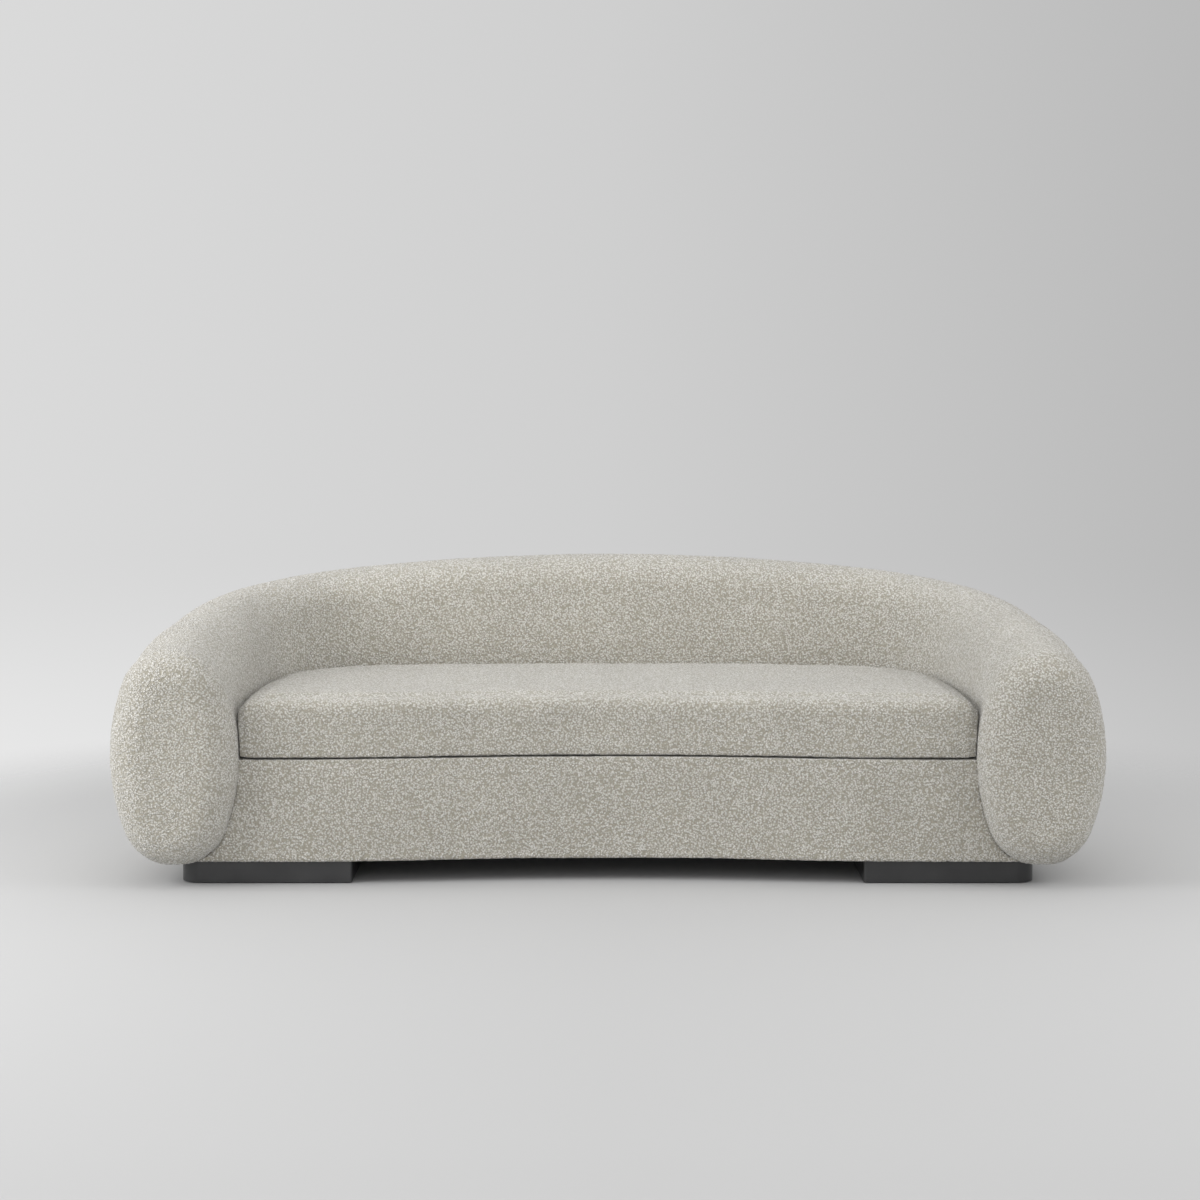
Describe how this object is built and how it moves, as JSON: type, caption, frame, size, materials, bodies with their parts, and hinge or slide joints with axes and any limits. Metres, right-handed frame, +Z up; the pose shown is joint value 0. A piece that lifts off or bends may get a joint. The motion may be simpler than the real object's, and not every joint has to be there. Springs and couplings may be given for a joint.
{
  "type": "curved sofa",
  "caption": "Curved sofa with one fat oval tube as arms and back, a loose bench cushion, a bowed apron and recessed dark plinth blocks.",
  "frame": {"origin": "on the floor, under the middle of the bounding box", "axes": "+Z up, +Y towards the back of the sofa, +X to the right as seen from the front"},
  "size_m": [2.3992, 1.0498, 0.74],
  "materials": {
    "boucle": "nubby loop-pile upholstery cloth, matte",
    "foam": "soft polyether foam, matte",
    "wadding": "fluffy polyester wadding",
    "felt": "needled felt, matte",
    "deck_cloth": "plain woven lining cloth",
    "black_cloth": "thin black non-woven cloth",
    "webbing": "elastic woven webbing",
    "plywood": "bare birch plywood",
    "beech": "planed bare beech",
    "hardboard": "smooth bent hardboard",
    "black_lacquer": "satin black lacquer on board",
    "zinc_steel": "zinc plated steel",
    "zip_nylon": "nylon coil zip in matching colour"
  },
  "bodies": {
    "sofa_frame": {"apron_cover": "boucle", "apron_pad": "foam", "arm_and_back_cover": "boucle", "arm_foam_left": "foam", "arm_foam_right": "foam", "arm_liner_left": "hardboard", "arm_liner_right": "hardboard", "back_foam": "foam", "back_liner": "hardboard", "base_board_left": "plywood", "base_board_right": "plywood", "base_splice": "plywood", "bottom_cloth": "black_cloth", "corner_block_left": "beech", "corner_block_right": "beech", "crest_rail": "plywood", "deck_cloth": "deck_cloth", "deck_pad": "felt", "felt_glides_left": "felt", "felt_glides_right": "felt", "former_left_1": "plywood", "former_left_2": "plywood", "former_left_3": "plywood", "former_left_4": "plywood", "former_left_5": "plywood", "former_left_6": "plywood", "former_middle": "plywood", "former_right_1": "plywood", "former_right_2": "plywood", "former_right_3": "plywood", "former_right_4": "plywood", "former_right_5": "plywood", "former_right_6": "plywood", "frame_screws": "zinc_steel", "front_hardboard": "hardboard", "front_plate_lower": "plywood", "front_plate_upper": "plywood", "front_rail": "beech", "inner_back_rail": "plywood", "outer_back_rail": "plywood", "plinth_bolts": "zinc_steel", "plinth_left": "black_lacquer", "plinth_right": "black_lacquer", "seat_rail_left": "plywood", "seat_rail_right": "plywood", "seat_rail_splice": "beech", "seat_stretcher_left": "beech", "seat_stretcher_middle": "beech", "seat_stretcher_right": "beech", "tee_nuts": "zinc_steel", "webbing_crossways": "webbing", "webbing_lengthways": "webbing"},
    "seat_cushion": {"cushion_cover": "boucle", "cushion_wrap": "wadding", "cushion_core": "foam", "zip_chain": "zip_nylon"},
    "zip_slider": {"zip_slider": "zinc_steel"}
  },
  "joints": [
    {"name": "cushion_lift", "type": "slide", "parent": "sofa_frame", "child": "seat_cushion", "axis": [0, 0, 1], "range_m": [0, 0.45]},
    {"name": "zip_run", "type": "slide", "parent": "seat_cushion", "child": "zip_slider", "axis": [1, 0, 0], "range_m": [0, 1.075]}
  ]
}
